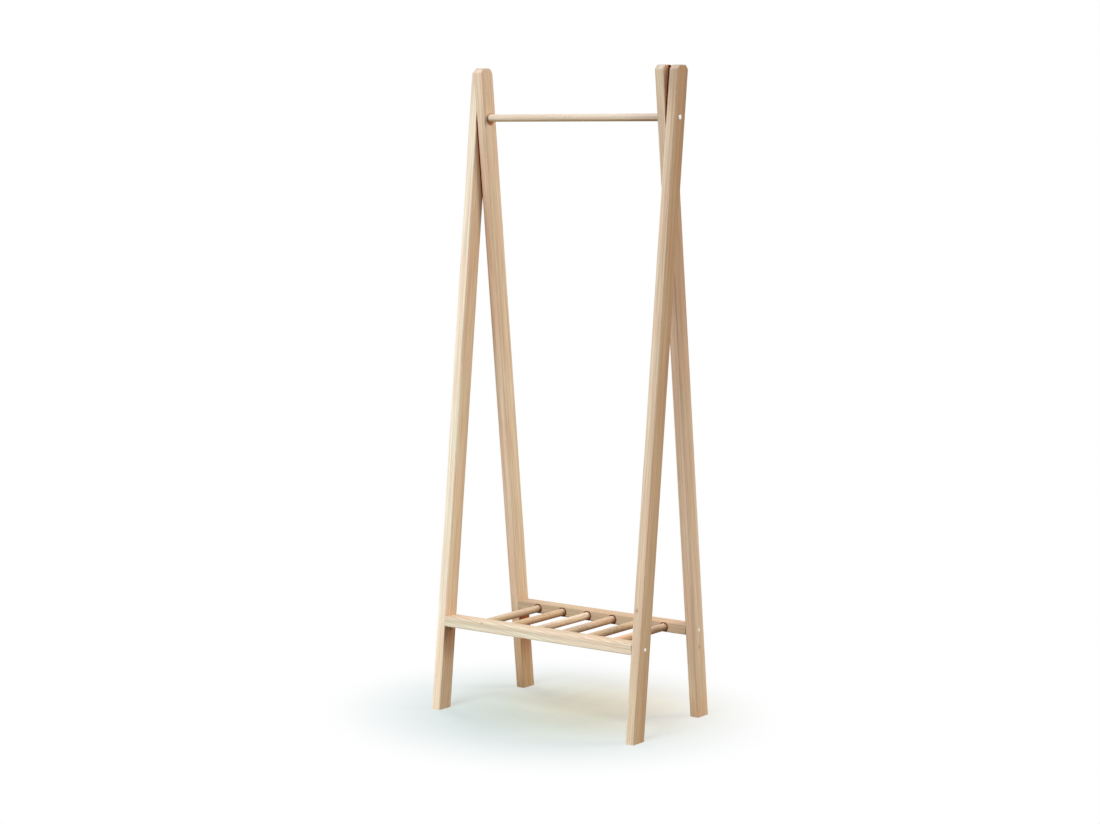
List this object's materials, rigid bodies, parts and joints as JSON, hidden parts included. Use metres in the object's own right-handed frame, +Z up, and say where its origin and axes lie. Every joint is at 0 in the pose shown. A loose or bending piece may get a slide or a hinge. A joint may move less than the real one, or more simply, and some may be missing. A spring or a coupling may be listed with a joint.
{
  "type": "clothes rack",
  "caption": "Free-standing wooden clothes rack: crossed leaning legs at each end carry a round hanging rail near the top and a low ladder shelf of round slats between flat rails.",
  "frame": {"origin": "on the floor, in the middle of the four feet", "axes": "+Z up, +X along the hanging rail to the viewer's right, +Y to the rear"},
  "size_m": [0.603, 0.357, 1.56],
  "materials": {
    "batten_wood": "pale planed wood, fine straight grain, matt",
    "rod_wood": "pale turned rod, fine straight grain, matt",
    "screw_steel": "zinc plated",
    "cap_plastic": "white, satin"
  },
  "bodies": {
    "root": {"front_left_leg": "batten_wood", "front_right_leg": "batten_wood", "rear_left_leg": "batten_wood", "rear_right_leg": "batten_wood", "hanging_rail": "rod_wood", "front_shelf_rail": "batten_wood", "rear_shelf_rail": "batten_wood", "shelf_slat_1": "rod_wood", "shelf_slat_2": "rod_wood", "shelf_slat_3": "rod_wood", "shelf_slat_4": "rod_wood", "shelf_slat_5": "rod_wood", "shelf_slat_6": "rod_wood", "left_crossing_screw": "screw_steel", "right_crossing_screw": "screw_steel", "front_left_shelf_screw": "screw_steel", "front_right_shelf_screw": "screw_steel", "rear_left_shelf_screw": "screw_steel", "rear_right_shelf_screw": "screw_steel", "left_crossing_cap": "cap_plastic", "right_crossing_cap": "cap_plastic", "front_left_shelf_cap": "cap_plastic", "front_right_shelf_cap": "cap_plastic", "rear_left_shelf_cap": "cap_plastic", "rear_right_shelf_cap": "cap_plastic"}
  },
  "joints": []
}
